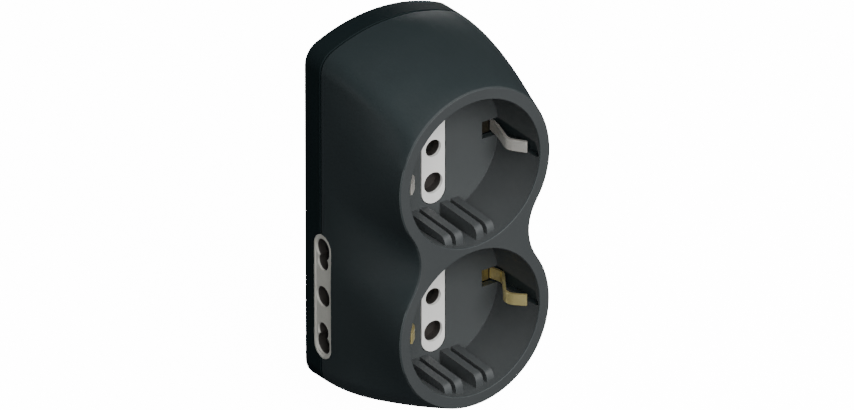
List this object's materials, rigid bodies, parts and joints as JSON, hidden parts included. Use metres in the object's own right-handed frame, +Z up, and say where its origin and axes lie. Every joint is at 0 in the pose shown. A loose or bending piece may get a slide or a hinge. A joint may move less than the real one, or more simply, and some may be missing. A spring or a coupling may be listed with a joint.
{
  "type": "plug adapter",
  "caption": "Wall plug adapter with two round recessed sockets in a figure-8 front, a flat outlet in each side and a plug with pins in line behind.",
  "frame": {"origin": "centre of the flat back face, where the earth pin leaves it", "axes": "+Z up along the long axis, -Y out of the recessed sockets, +Y along the plug pins into the wall, +X to the right seen from the front"},
  "size_m": [0.0456, 0.0599, 0.0996],
  "materials": {
    "housing_plastic": "satin, fine moulded grain",
    "insert_plastic": "satin",
    "carrier_plastic": "matte",
    "shutter_plastic": "matte",
    "sleeve_plastic": "satin",
    "nickel_plate": "satin nickel",
    "spring_brass": "bright",
    "contact_brass": "bright",
    "spring_steel": "drawn wire",
    "screw_steel": "blackened"
  },
  "bodies": {
    "housing": {"front_shell": "housing_plastic", "back_cover": "housing_plastic", "upper_socket_insert": "insert_plastic", "lower_socket_insert": "insert_plastic", "left_side_insert": "insert_plastic", "right_side_insert": "insert_plastic", "upper_earth_strap": "spring_brass", "upper_line_contact": "contact_brass", "upper_neutral_contact": "contact_brass", "upper_earth_contact": "contact_brass", "upper_contact_carrier": "carrier_plastic", "upper_shutter_spring": "spring_steel", "lower_earth_strap": "spring_brass", "lower_line_contact": "contact_brass", "lower_neutral_contact": "contact_brass", "lower_earth_contact": "contact_brass", "lower_contact_carrier": "carrier_plastic", "lower_shutter_spring": "spring_steel", "left_side_line_contact": "contact_brass", "left_side_neutral_contact": "contact_brass", "left_side_earth_contact": "contact_brass", "left_contact_carrier": "carrier_plastic", "right_side_line_contact": "contact_brass", "right_side_neutral_contact": "contact_brass", "right_side_earth_contact": "contact_brass", "right_contact_carrier": "carrier_plastic", "line_busbar": "contact_brass", "line_pin": "nickel_plate", "neutral_busbar": "contact_brass", "neutral_pin": "nickel_plate", "earth_busbar": "contact_brass", "earth_pin": "nickel_plate", "line_pin_sleeve": "sleeve_plastic", "neutral_pin_sleeve": "sleeve_plastic", "housing_screws": "screw_steel"},
    "upper_left_clip": {"upper_left_earth_clip": "nickel_plate"},
    "upper_right_clip": {"upper_right_earth_clip": "nickel_plate"},
    "upper_shutter_rotor": {"upper_shutter": "shutter_plastic"},
    "lower_left_clip": {"lower_left_earth_clip": "spring_brass"},
    "lower_right_clip": {"lower_right_earth_clip": "spring_brass"},
    "lower_shutter_rotor": {"lower_shutter": "shutter_plastic"}
  },
  "joints": [
    {"name": "upper_left_clip_flex", "type": "hinge", "parent": "housing", "child": "upper_left_clip", "pos_m": [-0.0193, -0.02105, 0.02045], "axis": [0, 0, -1], "range_deg": [0, 11], "stiffness_Nm_per_rad": 0.1},
    {"name": "upper_right_clip_flex", "type": "hinge", "parent": "housing", "child": "upper_right_clip", "pos_m": [0.0193, -0.02105, 0.02045], "axis": [0, 0, 1], "range_deg": [0, 7], "stiffness_Nm_per_rad": 0.1},
    {"name": "upper_shutter_turn", "type": "hinge", "parent": "housing", "child": "upper_shutter_rotor", "pos_m": [0, -0.0198, 0.02045], "axis": [0, 1, 0], "range_deg": [0, 40], "stiffness_Nm_per_rad": 0.01},
    {"name": "lower_left_clip_flex", "type": "hinge", "parent": "housing", "child": "lower_left_clip", "pos_m": [-0.0193, -0.02105, -0.02045], "axis": [0, 0, -1], "range_deg": [0, 11], "stiffness_Nm_per_rad": 0.1},
    {"name": "lower_right_clip_flex", "type": "hinge", "parent": "housing", "child": "lower_right_clip", "pos_m": [0.0193, -0.02105, -0.02045], "axis": [0, 0, 1], "range_deg": [0, 11], "stiffness_Nm_per_rad": 0.1},
    {"name": "lower_shutter_turn", "type": "hinge", "parent": "housing", "child": "lower_shutter_rotor", "pos_m": [0, -0.0198, -0.02045], "axis": [0, 1, 0], "range_deg": [0, 40], "stiffness_Nm_per_rad": 0.01}
  ]
}
